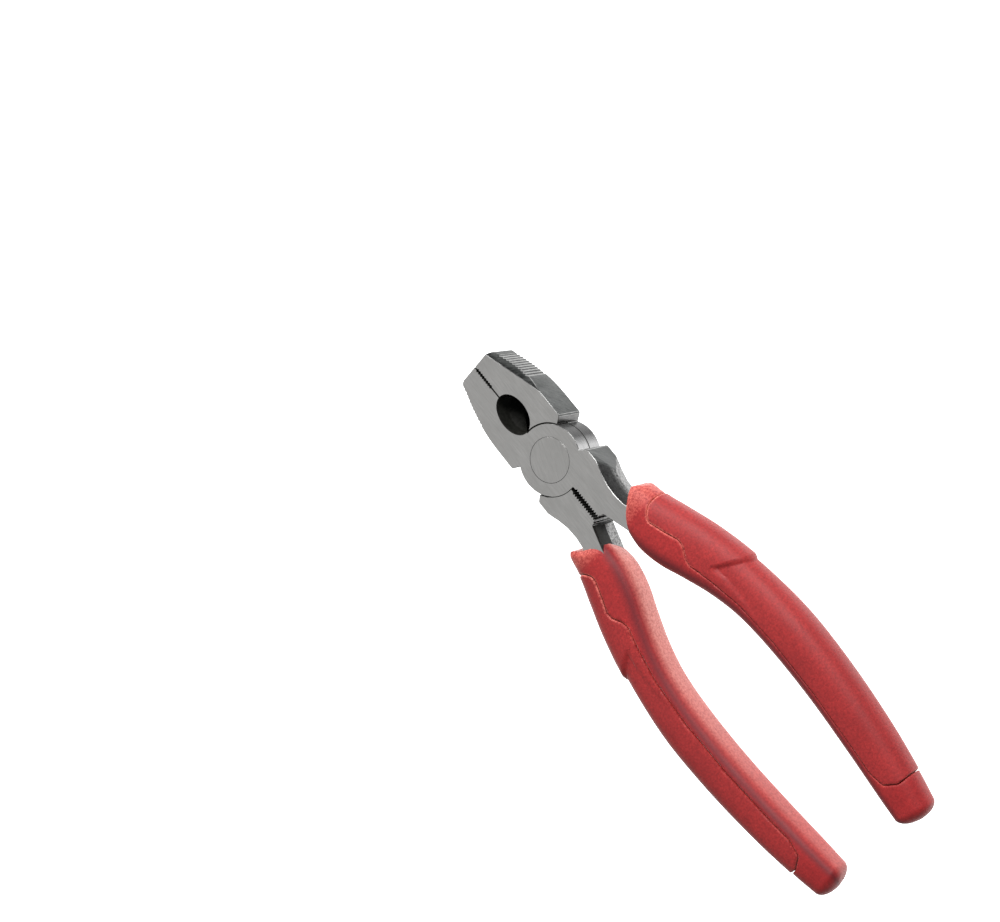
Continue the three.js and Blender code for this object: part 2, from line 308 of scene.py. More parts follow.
def in_gap(point):
    """Inside the serrated gap between the handles."""
    return GAP_LOW < point.y < GAP_HIGH and abs(point.x) < GAP_HALF


def break_corners(made):
    """Chamfers the corners and gives back the new faces."""
    corners = []
    for edge in made.edges:
        ends = [point.co / MM for point in edge.verts]
        meets = len(edge.link_faces) == 2 and edge.calc_face_angle() > math.radians(CORNER_DEGREES)
        if meets and not all(kept_sharp(end) for end in ends) and not all(in_gap(end) for end in ends):
            corners.append(edge)
    grown = bmesh.ops.bevel(
        made, geom=corners, offset=CHAMFER * MM, segments=1, profile=0.5, affect="EDGES",
        material=-1, clamp_overlap=False)
    return set(grown["faces"])


print("chamfer in mm:", CHAMFER)

# %% [markdown]
# Each face now gets the material slot of the tool that made it. Where a face lies and which way it
# points tell which tool that was: the flats are surface ground, the flanks are ground coarsely, the
# round of the joint is turned, and the shanks keep their forged skin. The throat's walls are dark, and
# so are the seams, which hold oil. In the gap the teeth are dark for oxide and as painted shade, and
# the front half of the faces that look across the gap below them is painted shade where the other
# lever shades it. Chamfers are rubbed brighter than what they border.

# %% Name the faces
FACE, FLANK, FORGED, BRIGHT, DARK, EDGE, HEEL = range(7)  # slots, in the order of LEVER_FINISHES
SHOULDER_END = 14.0
THROAT_Y, THROAT_HALF_WIDTH, THROAT_HALF_LENGTH = 24.1, 6.3, 9.2
THROAT_MARGIN = 0.3
JAW_SEAM_HALF = 0.9
DARK_NEAR = 0.7
DARK_FROM = 4.0
FLAT = 0.92  # how squarely a flat face looks along Z
FLAT_CHAMFER = 0.97
UPRIGHT = 0.05
ROUND_NEAR = 0.4
HEEL_FACING = 0.6
FACET_FACING = 0.9


def on_dark_seam(point):
    """Whether a chamfer holds oil and grime: between the jaws, above the disc and round its waist."""
    between_jaws = point.y > THROAT_Y + THROAT_HALF_LENGTH and abs(point.x) < JAW_SEAM_HALF
    near_arc = from_arc(point) < DARK_NEAR
    above_disc = near_arc and abs(point.x) < JOINT_OPEN_X and point.y > DARK_FROM
    return between_jaws or above_disc or (near_arc and abs(point.z - MID) < SEAM_NEAR)


def in_throat(point):
    across = point.x / (THROAT_HALF_WIDTH + THROAT_MARGIN)
    along = (point.y - THROAT_Y) / (THROAT_HALF_LENGTH + THROAT_MARGIN)
    return across * across + along * along < 1


def name_faces(made, chamfers):
    for face in made.faces:
        middle = face.calc_center_median() / MM
        level = abs(face.normal.z)
        below_flat = middle.y < GAP_TEETH["start"]
        faces_gap = face.normal.x * middle.x < 0
        if (in_throat(middle) and level < FLAT_CHAMFER) or (on_dark_seam(middle) and face in chamfers):
            face.material_index = DARK
        elif face in chamfers and level < FLAT_CHAMFER:
            face.material_index = EDGE
        elif level > FLAT:
            face.material_index = FACE
        elif below_flat and in_gap(middle) and face.normal.y < -FACET_FACING:
            face.material_index = EDGE
        # painted shade: the front half of faces that look across the gap below its teeth, where the other
        # lever shades them
        elif below_flat and faces_gap and middle.z > MID:
            face.material_index = DARK
        # dark for oxide and as painted shade: the faces inside the gap
        elif middle.y < -SHOULDER_END and in_gap(middle):
            face.material_index = DARK
        elif middle.y < -SHOULDER_END and level > UPRIGHT:
            face.material_index = FORGED
        elif from_arc(middle) < ROUND_NEAR:
            face.material_index = BRIGHT
        elif abs(face.normal.y) > HEEL_FACING:
            face.material_index = HEEL
        else:
            face.material_index = FLANK


print("slots on a lever:", HEEL + 1)

# %% [markdown]
# Now the lever can be made: copy, cut, join the flat faces that the cuts left in pieces, chamfer, and
# name. The ground flats are shaded flat, because smooth shading would bend their reflections near
# every chamfer.


# %% Machine the levers
def make_lever(side, turned):
    cutters = [saw_comb(**JAW_TEETH), saw_comb(**GAP_TEETH), facet_comb()]
    if turned:
        cutters = [turn_over(cutter) for cutter in cutters]
    made = cut_with(blank_from(side + "_lever"), cutters)
    bmesh.ops.dissolve_limit(
        made, angle_limit=math.radians(0.4), verts=made.verts, edges=made.edges,
        use_dissolve_boundaries=False)
    chamfers = break_corners(made)
    name_faces(made, chamfers)
    lever = piece_from(made, side + "_steel", 25)
    for face in lever.data.polygons:
        face.use_smooth = face.material_index != FACE
    print(lever.name, "chamfers:", len(chamfers), "faces:", len(lever.data.polygons))
    return lever


front_steel = make_lever("front", False)
rear_steel = make_lever("rear", True)
for steel, body, node in [
        (front_steel, "front_half", "front_lever"), (rear_steel, "rear_half", "rear_lever")]:
    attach(steel, body)
    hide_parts(node)

# %% [markdown]
# ## Rivet
# The rivet is a turned pin with a countersunk head at both ends, ground flush with the faces. Only its
# rim shows, as a thin dark ring. A half profile spun round the axis makes it, and a very small chamfer
# on the rim keeps that ring open to the light.

# %% Spin the rivet
RIVET_R = 9.1
SHANK_R = 5.6
RIM = 0.7
HEAD_DEPTH = 3.0
RIM_CHAMFER = 0.05


def make_rivet():
    low = [
        (0, 0), (RIVET_R - RIM_CHAMFER, 0), (RIVET_R, RIM_CHAMFER), (RIVET_R, RIM), (SHANK_R, HEAD_DEPTH)]
    profile = low + [(radius, THICKNESS - height) for radius, height in reversed(low)]
    made = bmesh.new()
    points = [made.verts.new((radius * MM, 0, height * MM)) for radius, height in profile]
    wire = [made.edges.new(pair) for pair in zip(points, points[1:])]
    bmesh.ops.spin(
        made, geom=points + wire, axis=(0, 0, 1), cent=(0, 0, 0), angle=math.tau, steps=128, use_merge=True)
    bmesh.ops.remove_doubles(made, verts=made.verts, dist=0.001 * MM)
    return piece_from(facing_out(made), "flush_rivet", 25)


rivet = make_rivet()
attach(rivet, "front_half")
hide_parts("pivot_rivet")
print("rivet faces:", len(rivet.data.polygons))

# %% [markdown]
# ## Grips
# A grip is a firm sleeve moulded over the handle, with a second panel let into its palm side. Its
# section is a rounded oblong that turns, widens and thins on its way down, so the rows below say
# where each section stands, how far it is turned and how big it is. A tube with hundreds of rings is
# slid onto those rows, and smooth curves between the rows place every ring.

# %% Rows down the grip
GRIP_ROWS = [  # centre x, centre y, tilt in degrees, half width, half thickness
    (14.0, -35.5, 38, 10.9, 8.9),
    (14.7, -45.4, 28, 11.6, 9.0),
    (17.9, -56, 22, 12.2, 9.0),
    (22.2, -67, 19, 11.8, 9.0),
    (26.4, -80, 14, 11.0, 9.0),
    (29.2, -94, 7, 10.3, 9.0),
    (30.3, -112, 1, 9.9, 9.0),
    (29.6, -136, -4.5, 9.5, 8.8),
    (27.2, -160, -7.5, 9.0, 8.5),
    (24.4, -179, -9.5, 8.2, 8.0),
    (22.9, -188, -10, 7.6, 7.4),
]
PALM_POWER = 2.3
INNER_POWER = 2.9
END_LENGTH = 4.5

row_places = [0.0]
for above, below in zip(GRIP_ROWS, GRIP_ROWS[1:]):
    row_places.append(row_places[-1] + math.dist(above[:2], below[:2]))
GRIP_LENGTH = row_places[-1]
print("grip length in mm:", round(GRIP_LENGTH + END_LENGTH, 1))


def row_at(place):
    """The row at a distance down the grip, on a smooth curve through all rows."""
    last = len(GRIP_ROWS) - 1
    k = max(i for i in range(last) if row_places[i] <= max(place, 0))
    span = row_places[k + 1] - row_places[k]
    t = (place - row_places[k]) / span
    ends = [max(k - 1, 0), k, k + 1, min(k + 2, last)]
    row = []
    for column in range(5):
        before, start, end, after = (GRIP_ROWS[i][column] for i in ends)
        slope_in = (end - before) / (row_places[ends[2]] - row_places[ends[0]]) * span
        slope_out = (after - start) / (row_places[ends[3]] - row_places[ends[1]]) * span
        row.append(
            start * (2 * t**3 - 3 * t**2 + 1) + end * (3 * t**2 - 2 * t**3)
            + slope_in * (t**3 - 2 * t**2 + t) + slope_out * (t**3 - t**2))
    return row


# %% [markdown]
# The mouth of the sleeve is softened by a sloping band, and its outer corner is pressed in by a
# slanted flat. On the back the mouth is cut squarer, so its inner side reaches further up the steel.
# All are small moves of the rings: the band shrinks the first few, the reach slides them up, and the
# press moves any point past the slanted line back to it, with a soft bend instead of a crease.

# %% Slide a tube onto the rows
AROUND = 144
RING_STEP = 0.42
MOUTH_BAND = 2.4
MOUTH_DROP = 0.95
MOUTH_REACH = 2.3
REACH_FADE = 14.0
PRESS_FROM = Vector((18.0, -29.5))
PRESS_TO = Vector((26.9, -36.7))
PRESS_SOFT = 0.6
BAND_POWER = 1.4
BACK_FROM, BACK_SPREAD, BACK_POWER = 0.35, 0.7, 0.6  # where round the grip the mouth reaches up
END_STOP = 0.995  # the rounded end stops just short of a point
CORE_AROUND = 96
CORE_STEP = 1.2
press_line = (PRESS_TO - PRESS_FROM).normalized()
press_out = Vector((-press_line.y, press_line.x))


def eased(value):
    """Goes from 0 to 1 with a soft start and a soft end."""
    value = min(max(value, 0.0), 1.0)
    return value * value * (3 - 2 * value)


def pressed(x, y):
    """Moves a point past the slanted line back to it."""
    beyond = (Vector((x, y)) - PRESS_FROM).dot(press_out)
    if beyond < -4 * PRESS_SOFT:
        return x, y
    kept = (beyond - math.hypot(beyond, PRESS_SOFT)) / 2
    return x + (kept - beyond) * press_out.x, y + (kept - beyond) * press_out.y


def on_grip(place, turn, grow):
    """A point of the grip's skin: a distance down the grip, an angle round it and a swelling."""
    over = min(max(place - GRIP_LENGTH, 0) / END_LENGTH, END_STOP)
    x, y, tilt, half, thick = row_at(min(place, GRIP_LENGTH))
    if place < MOUTH_BAND:
        grow = grow - MOUTH_DROP * (1 - place / MOUTH_BAND) ** BAND_POWER
    shrink = math.sqrt(1 - over * over)
    tilt = math.radians(tilt)
    down = over * (END_LENGTH + grow)
    if place < REACH_FADE:
        behind = eased((BACK_FROM - math.sin(turn)) / BACK_SPREAD)
        behind *= max(-math.cos(turn), 0) ** BACK_POWER
        down -= MOUTH_REACH * behind * (1 - place / REACH_FADE) ** 2
    power = 2 / (PALM_POWER if math.cos(turn) > 0 else INNER_POWER)
    across = math.copysign(abs(math.cos(turn)) ** power, math.cos(turn)) * (half + grow) * shrink
    height = math.copysign(abs(math.sin(turn)) ** power, math.sin(turn)) * (thick + grow) * shrink
    x += across * math.cos(tilt) + down * math.sin(tilt)
    y += across * math.sin(tilt) - down * math.cos(tilt)
    x, y = pressed(x, y)
    return Vector((x, y, MID + height)) * MM


def swept_tube(grow, relief, around, step):
    """A closed tube over the whole grip. relief(place, turn) adds a local swelling."""
    rings = round((GRIP_LENGTH + END_LENGTH) / step)
    made = bmesh.new()
    bmesh.ops.create_cone(
        made, cap_ends=True, cap_tris=False, segments=around, radius1=1, radius2=1, depth=1)
    uprights = [edge for edge in made.edges if abs(edge.verts[0].co.z - edge.verts[1].co.z) > 0.5]
    bmesh.ops.subdivide_edges(made, edges=uprights, cuts=rings)
    for point in made.verts:
        turn = math.atan2(point.co.y, point.co.x)
        place = (point.co.z + 0.5) * (GRIP_LENGTH + END_LENGTH)
        point.co = on_grip(place, turn, grow + relief(place, turn))
    return facing_out(made)


def no_relief(place, turn):
    return 0.0


def core(grow):
    """A coarser tube for cutting the hidden inner sides."""
    return swept_tube(grow, no_relief, CORE_AROUND, CORE_STEP)


print("rings on the grip:", round((GRIP_LENGTH + END_LENGTH) / RING_STEP))


# %% [markdown]
# The panel's edge is one outline, drawn on the front and cut straight through, so it looks the same
# from behind. Its corners are rounded, as a cutter in a mould would leave them. The same outline, a
# little larger, cuts the seat in the sleeve, and the difference is the groove between the two. The
# shown panel is thinner than its CAD solid, which leaves more sleeve under it.

# %% Panel outline
PANEL_EDGE = [
    (46, -38.5), (24.5, -40.4), (21.2, -41.4), (18.2, -44.2), (17.3, -46.6), (19.8, -53.7),
    (22.4, -59.6), (22.1, -62.6), (19.5, -66.7), (18.9, -69.6), (21.4, -78.5), (24.4, -92.6),
    (25.6, -112), (25, -136), (22.9, -160), (21.8, -169), (23, -175.5), (28, -178.5), (46, -178.5),
]
PANEL_OPEN_X = 40  # the outline's outer corners lie past this, outside the grip
PANEL_PAST = 6
CORNER_ROUND = 0.9
PANEL_RAISE = 0.3
PANEL_THICKNESS = 1.3
GROOVE = 0.4
SEAT_GAP = 0.05


def outline_moved(points, grow):
    """The outline with every side moved outwards by grow, all corners kept."""
    corners = [Vector(point) for point in points]
    moved = []
    for i, corner in enumerate(corners):
        first = (corner - corners[i - 1]).normalized()
        second = (corners[(i + 1) % len(corners)] - corner).normalized()
        out_first = Vector((-first.y, first.x))
        out_second = Vector((-second.y, second.x))
        miter = (out_first + out_second).normalized()
        moved.append(corner + miter * (grow / miter.dot(out_second)))
    return [(corner.x, corner.y) for corner in moved]


def panel_prism(grow):
    """The panel's outline, grown and with rounded corners, pushed through the whole grip."""
    points = outline_moved(PANEL_EDGE, -grow)
    made = prism(points, -PANEL_PAST, THICKNESS + PANEL_PAST)
    uprights = [
        edge for edge in made.edges
        if abs(edge.verts[0].co.z - edge.verts[1].co.z) > MM
        and edge.verts[0].co.x < PANEL_OPEN_X * MM]
    bmesh.ops.bevel(
        made, geom=uprights, offset=CORNER_ROUND * MM, segments=4, profile=0.5, affect="EDGES",
        material=-1, clamp_overlap=True)
    return facing_out(made)


print("panel length in mm:", PANEL_EDGE[0][1] - PANEL_EDGE[-1][1])


# %% [markdown]
# The thumb's scoop is a V pressed into the panel. It is deepest just below the two legs of the V and
# runs out down the handle. A relief function says how far each point of the tube is pressed in, so
# the scoop costs no extra faces.

# %% Scoop in the panel
SCOOP_PLACE = 42.5
SCOOP_ACROSS = 0.3
SCOOP_SLOPE = 0.84
SCOOP_DEPTH = 1.15
SCOOP_RUN = 36.0
LEG_WIDTH = 1.1
LEG_GROOVE = 0.4
LEG_FADE = 20.0
LEG_SQUARE = 0.77  # turns a distance down the handle into one square to the slanted leg
INNER_LEG_SLOPE = 0.12
GROOVE_SPREAD = 0.4
NOT_NEAR = 9.0
SCOOP_ABOVE = 2
SCOOP_SIDE = -0.3  # the cosine beyond which no panel skin is left


def scoop(place, turn):
    """How far a point of the panel's skin moves out. It is negative inside the scoop."""
    above = place < SCOOP_PLACE - SCOOP_ABOVE
    below = place > SCOOP_PLACE + 3 * SCOOP_RUN
    if above or below or math.cos(turn) < SCOOP_SIDE:
        return 0.0
    half = row_at(place)[3]
    across = math.copysign(abs(math.cos(turn)) ** (2 / PALM_POWER), math.cos(turn)) * half
    outer_leg = place - SCOOP_PLACE - SCOOP_SLOPE * (across - SCOOP_ACROSS)
    inner_leg = across - SCOOP_ACROSS + INNER_LEG_SLOPE * (place - SCOOP_PLACE)
    inside = eased(outer_leg / LEG_WIDTH) * eased(inner_leg / LEG_WIDTH)
    run_out = 1 - eased(max(outer_leg, 0) / SCOOP_RUN)
    to_outer = abs(outer_leg) * LEG_SQUARE if inner_leg > 0 else NOT_NEAR
    to_inner = abs(inner_leg) if outer_leg > 0 else NOT_NEAR
    spread = math.exp(-(min(to_outer, to_inner) / GROOVE_SPREAD) ** 2)
    line = LEG_GROOVE * spread * (1 - eased(outer_leg / LEG_FADE))
    return -SCOOP_DEPTH * inside * run_out - line


print("scoop depth in mm:", SCOOP_DEPTH)


# %% [markdown]
# Moulded edges are never knife sharp. Near the groove each skin point sinks a little towards the
# middle of the handle, and the amount follows a quarter circle, so both lips of the groove roll over.
# How close a point is to a lip is also kept as the attribute `lip`, which the material uses for a
# painted highlight, and the attribute `inner` says how squarely a point faces the other handle.

# %% Round the lips of the groove
LIP_RADIUS = 0.45
SINK_LIMIT = 0.4
SECTION_POWER = 2.5
SKIN_FROM = 0.78  # fullness of the section where its outer skin starts
# the next value is how pale the painted highlight round the mouth of the sleeve starts
MOUTH_HIGHLIGHT = 0.7
MOUTH_FADE = 9.0
CENTRE_STEP = 0.5

centre_line = [row_at(step * CENTRE_STEP) for step in range(int(GRIP_LENGTH / CENTRE_STEP))]
centre_tree = kdtree.KDTree(len(centre_line))
for i, row in enumerate(centre_line):
    centre_tree.insert((row[0], row[1], 0), i)
centre_tree.balance()


def distance_to_outline(point, corners):
    best = 1e9
    for start, end in zip(corners, corners[1:]):
        along = end - start
        share = min(max((point - start).dot(along) / along.length_squared, 0), 1)
        best = min(best, (point - start - along * share).length)
    return best


def round_lips(made, grow):
    """Rolls the lips over and gives back how many points are near one."""
    corners = [Vector(point) for point in outline_moved(PANEL_EDGE, -grow)]
    layer = made.verts.layers.float.new("lip")
    count = 0
    for point in made.verts:
        flat = Vector((point.co.x, point.co.y)) / MM
        away = distance_to_outline(flat, corners)
        if away > 2 * LIP_RADIUS:
            continue
        row = centre_line[centre_tree.find((flat.x, flat.y, 0))[1]]
        offset = flat - Vector(row[:2])
        across = offset.length / row[3]
        up = abs(point.co.z / MM - MID) / row[4]
        if across**SECTION_POWER + up**SECTION_POWER < SKIN_FROM:
            continue
        count += 1
        point[layer] = 1 - away / (2 * LIP_RADIUS)
        if away < LIP_RADIUS:
            sink = LIP_RADIUS - math.sqrt(LIP_RADIUS**2 - (LIP_RADIUS - away) ** 2)
            centre = Vector((row[0], row[1], MID)) * MM
            point.co += (centre - point.co).normalized() * (min(sink, SINK_LIMIT) * MM)
    return count


def mark_mouth_light_and_inner(made):
    """A painted highlight round the mouth, kept in `lip`, and how squarely each point faces the other
    handle.
    """
    lip = made.verts.layers.float["lip"]
    inner = made.verts.layers.float.new("inner")
    for point in made.verts:
        flat = Vector((point.co.x, point.co.y)) / MM
        nearest = centre_tree.find((flat.x, flat.y, 0))[1]
        x, y, tilt, half, thick = centre_line[nearest]
        point[lip] = max(point[lip], MOUTH_HIGHLIGHT * (1 - eased(nearest * CENTRE_STEP / MOUTH_FADE)))
        tilt = math.radians(tilt)
        across = ((flat.x - x) * math.cos(tilt) + (flat.y - y) * math.sin(tilt)) / half
        turn = abs(math.atan2((point.co.z / MM - MID) / thick, across))
        point[inner] = max(0, 1 - (math.pi - turn) / (math.pi / 2))


print("points on the centre line:", len(centre_line))

# %% [markdown]
# The sleeve is the tube less the panel's seat and less the steel, so it fits the handle exactly. The
# panel is a slightly fuller tube, cut to the outline and hollowed. Both are made once, for the front
# lever, and a copy turned over serves the rear one.


# %% Sleeve and panel
def make_grip_pair():
    """The sleeve and its panel, both for the front lever."""
    seat = cut_with(panel_prism(GROOVE / 2), [core(-PANEL_THICKNESS - SEAT_GAP)])
    sleeve = cut_with(swept_tube(0, no_relief, AROUND, RING_STEP), [seat, blank_from("front_lever")])
    lips = round_lips(sleeve, GROOVE / 2)
    mark_mouth_light_and_inner(sleeve)
    print("sleeve points on the lip:", lips, "faces:", len(sleeve.faces))
    panel = swept_tube(PANEL_RAISE, scoop, AROUND, RING_STEP)
    panel = cut_with(panel, [panel_prism(-GROOVE / 2)], "INTERSECT")
    panel = cut_with(panel, [core(-PANEL_THICKNESS)])
    lips = round_lips(panel, -GROOVE / 2)
    print("panel points on the lip:", lips, "faces:", len(panel.faces))
    return sleeve, panel


sleeve_mesh, panel_mesh = make_grip_pair()
grips = {}
for side, body in [("front", "front_half"), ("rear", "rear_half")]:
    for part, made, slot in [
            ("sleeve", sleeve_mesh, "grip_red"), ("panel", panel_mesh, "panel_red")]:
        shape = made.copy() if side == "front" else turn_over(made.copy())
        piece = piece_from(shape, side + "_moulded_" + part, 38)
        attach(piece, body)
        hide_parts(side + "_grip_" + part)
        grips[side, part] = piece
        print(piece.name, "faces:", len(piece.data.polygons))

# %% [markdown]
# ## Finishes
# A material is a small machine of nodes, and most lines that build one look alike. A few helpers keep
# them short: `add` makes a node and fills its inputs with values or links, `ramp` maps one range onto
# another, and `blended` mixes two colours. A pattern reads Object coordinates, so it stays put on its
# piece when the pliers open.


# %% Node helpers
def new_group(name, inputs, outputs):
    """An empty group with named inputs and outputs, each given as a name and a kind."""
    tree = bpy.data.node_groups.new(name, "ShaderNodeTree")
    for socket, kind in inputs:
        tree.interface.new_socket(name=socket, in_out="INPUT", socket_type="NodeSocket" + kind)
    for socket, kind in outputs:
        tree.interface.new_socket(name=socket, in_out="OUTPUT", socket_type="NodeSocket" + kind)
    return tree, tree.nodes.new("NodeGroupInput"), tree.nodes.new("NodeGroupOutput")


def add(tree, kind, settings=(), **inputs):
    """A node with its settings, and inputs given as values or as sockets to link."""
    made = tree.nodes.new(kind)
    for name, value in dict(settings).items():
        setattr(made, name, value)
    for name, value in inputs.items():
        target = made.inputs[int(name[1:])] if name[1:].isdigit() else made.inputs[name.replace("_", " ")]
        if isinstance(value, bpy.types.NodeSocket):
            tree.links.new(value, target)
        else:
            target.default_value = value
    return made


def mapped(tree, scale, turn=(0, 0, 0)):
    """Object coordinates, turned by degrees and scaled: how many features to the metre, each way."""
    place = add(tree, "ShaderNodeTexCoord")
    spin = add(
        tree, "ShaderNodeMapping", Vector=place.outputs["Object"],
        Rotation=[math.radians(angle) for angle in turn])
    return add(tree, "ShaderNodeMapping", Vector=spin.outputs[0], Scale=scale).outputs[0]


def place_along(tree, axis):
    """The X, Y or Z object coordinate, in metres."""
    place = add(tree, "ShaderNodeTexCoord")
    return add(tree, "ShaderNodeSeparateXYZ", Vector=place.outputs["Object"]).outputs[axis]


def ramp(tree, value, low, high, to_low=0.0, to_high=1.0):
    return add(
        tree, "ShaderNodeMapRange", Value=value, From_Min=low, From_Max=high, To_Min=to_low,
        To_Max=to_high).outputs[0]


def product(tree, first, second):
    """Two values multiplied, and kept between 0 and 1."""
    return add(
        tree, "ShaderNodeMath", {"operation": "MULTIPLY", "use_clamp": True}, _0=first,
        _1=second).outputs[0]


def blended(tree, share, first, second):
    """A colour between two, by a share from 0 to 1."""
    mix = tree.nodes.new("ShaderNodeMix")
    mix.data_type = "RGBA"
    for index, value in [(0, share), (6, first), (7, second)]:
        if isinstance(value, bpy.types.NodeSocket):
            tree.links.new(value, mix.inputs[index])
        else:
            mix.inputs[index].default_value = value
    return mix.outputs[2]


def use_group(tree, group, *values):
    """A group placed in a material, with its inputs linked in order."""
    made = add(tree, "ShaderNodeGroup", {"node_tree": group})
    for socket, value in zip(made.inputs, values):
        tree.links.new(value, socket)
    return made.outputs


def new_material(name):
    material = bpy.data.materials.new(name)
    material.use_nodes = True
    tree = material.node_tree
    return material, tree, tree.nodes["Principled BSDF"]


print("materials so far:", len(bpy.data.materials))

# %% [markdown]
# Four effects are used by more than one finish, so each is a node group. `fine grain` is noise that
# the Mapping node in front of it stretches into grinding lines. `spark skin` is the dimpled surface
# that a spark-eroded mould leaves. `soft stains` is slow, uneven colour from hands and oil. The fourth
# is a painted highlight: it turns the moulding pale on the lips and round the mouth, on the high
# points of the skin, and most near the head.

# %% Shared effects
LIP_LIGHT_LOW, LIP_LIGHT_HIGH = -80, -42  # heights between which the painted highlight grows to its full


def make_fine_grain():
    tree, start, end = new_group("fine grain", [("Vector", "Vector")], [("Lines", "Float")])
    lines = add(
        tree, "ShaderNodeTexNoise", Vector=start.outputs[0], Scale=1.0, Detail=5.0, Roughness=0.7)
    tree.links.new(lines.outputs[0], end.inputs[0])
    return tree


def make_spark_skin():
    tree, start, end = new_group(
        "spark skin", [("Vector", "Vector")], [("Height", "Float"), ("Speckle", "Float")])
    pits = add(
        tree, "ShaderNodeTexNoise", Vector=start.outputs[0], Scale=1.0, Detail=3.0, Roughness=0.6)
    speckle = add(
        tree, "ShaderNodeTexNoise", Vector=start.outputs[0], Scale=0.55, Detail=4.0, Roughness=0.75)
    tree.links.new(pits.outputs[0], end.inputs[0])
    tree.links.new(ramp(tree, speckle.outputs[0], 0.3, 0.7), end.inputs[1])
    return tree


def make_soft_stains():
    tree, start, end = new_group("soft stains", [("Vector", "Vector")], [("Mask", "Float")])
    cloud = add(
        tree, "ShaderNodeTexNoise", Vector=start.outputs[0], Scale=1.0, Detail=4.0, Roughness=0.6)
    tree.links.new(ramp(tree, cloud.outputs[0], 0.35, 0.7), end.inputs[0])
    return tree


# a painted highlight on the lips, on the high points of the skin, and most near the head
def make_lip_highlight():
    tree, start, end = new_group(
        "lip highlight", [("Lip", "Float"), ("Speckle", "Float"), ("Height", "Float")],
        [("Mask", "Float")])
    high_points = product(tree, start.outputs[0], start.outputs[1])
    near_head = ramp(tree, start.outputs[2], LIP_LIGHT_LOW * MM, LIP_LIGHT_HIGH * MM, 0.3, 1)
    lip_light = product(tree, high_points, near_head)
    tree.links.new(ramp(tree, lip_light, 0.08, 0.6, 0, 0.9), end.inputs[0])
    return tree


FINE_GRAIN = make_fine_grain()
SPARK_SKIN = make_spark_skin()
SOFT_STAINS = make_soft_stains()
LIP_HIGHLIGHT = make_lip_highlight()
print("shared effects:", [tree.name for tree in bpy.data.node_groups])

# %% [markdown]
# Every steel finish is the same recipe with other numbers: grain runs between a dark and a light
# colour, the same grain makes the roughness and a very low bump, and stains dull it in places. What
# tells the finishes apart is how the grain is stretched and turned. Two finishes have an extra, both
# painted light. Painted shade darkens the upper part of the turned disc and takes its metal away, and
# a painted highlight brightens the forged skin behind mid-thickness.


# %% Steel finishes
DISC_SHADE_COLOUR = (0.012, 0.012, 0.012, 1)
DISC_SHADE_COVER, DISC_SHADE_METAL = 0.9, 0.03  # how much painted shade covers at its densest, and the metal left there
BACK_LIGHT_COLOUR = (0.31, 0.31, 0.307, 1)
BACK_LIGHT_COVER = 1.1
BACK_LIGHT_POINTS = (0.36, 0.66)  # the grain between which a point is high enough for the painted highlight
GRAIN_LOW, GRAIN_HIGH = 0.3, 0.7
STAIN_SCALE = (160, 90, 160)


def paint_disc_shade(tree, shader, colour, low, high):
    """Painted shade that grows between two heights up the tool, and hides the metal."""
    height = place_along(tree, "Y")
    metal_left = ramp(tree, height, low * MM, high * MM, 1, DISC_SHADE_METAL)
    tree.links.new(metal_left, shader.inputs["Metallic"])
    disc_shade = ramp(tree, height, low * MM, high * MM, 0, DISC_SHADE_COVER)
    return blended(tree, disc_shade, colour, DISC_SHADE_COLOUR)


def paint_back_light(tree, colour, grain, ridge):
    """A painted highlight: brighter high points, from a little in front of mid-thickness to the back."""
    behind = ramp(tree, place_along(tree, "Z"), (MID + ridge) * MM, MID * MM, 0, BACK_LIGHT_COVER)
    back_glint = product(tree, behind, ramp(tree, grain, *BACK_LIGHT_POINTS))
    return blended(tree, back_glint, colour, BACK_LIGHT_COLOUR)


def steel(name, dark, light, rough, grain_scale, grain_turn, bump, metallic=1.0, disc_shade_heights=None, ridge=0):
    """Ground or forged steel. dark and light are the colours between which the grain runs, the pair of
    heights is where the painted shade on the disc grows, and ridge is how far in front of
    mid-thickness the painted highlight starts."""
    material, tree, shader = new_material(name)
    shader.inputs["Metallic"].default_value = metallic
    shader.inputs["Specular IOR Level"].default_value = 0.1
    grain = use_group(tree, FINE_GRAIN, mapped(tree, grain_scale, grain_turn))[0]
    stain = use_group(tree, SOFT_STAINS, mapped(tree, STAIN_SCALE))[0]
    tone = blended(tree, ramp(tree, grain, GRAIN_LOW, GRAIN_HIGH), (*dark, 1), (*light, 1))
    mark_tone = blended(tree, stain, tone, blended(tree, 0.5, tone, (*dark, 1)))
    if disc_shade_heights:
        mark_tone = paint_disc_shade(tree, shader, mark_tone, *disc_shade_heights)
    if ridge:
        mark_tone = paint_back_light(tree, mark_tone, grain, ridge)
    tree.links.new(mark_tone, shader.inputs["Base Color"])
    tree.links.new(ramp(tree, grain, GRAIN_LOW, GRAIN_HIGH, *rough), shader.inputs["Roughness"])
    relief = add(tree, "ShaderNodeBump", Strength=bump, Distance=0.05 * MM, Height=grain)
    tree.links.new(relief.outputs[0], shader.inputs["Normal"])
    return material


ground_face = steel(
    "ground_face", (0.33, 0.327, 0.318), (0.47, 0.465, 0.455), (0.30, 0.42), (2600, 150, 2600), (0, 0, 0),
    0.25)
ground_flank = steel(
    "ground_flank", (0.010, 0.011, 0.011), (0.10, 0.105, 0.102), (0.30, 0.5), (110, 900, 220), (28, 0, 0),
    0.9)
# the forged skin gets a painted highlight behind mid-thickness, from the ridge distance given last
forged_skin = steel(
    "forged_skin", (0.006, 0.006, 0.006), (0.055, 0.056, 0.055), (0.32, 0.55), (1100, 1100, 1100),
    (0, 0, 0), 1.0, ridge=2.8)
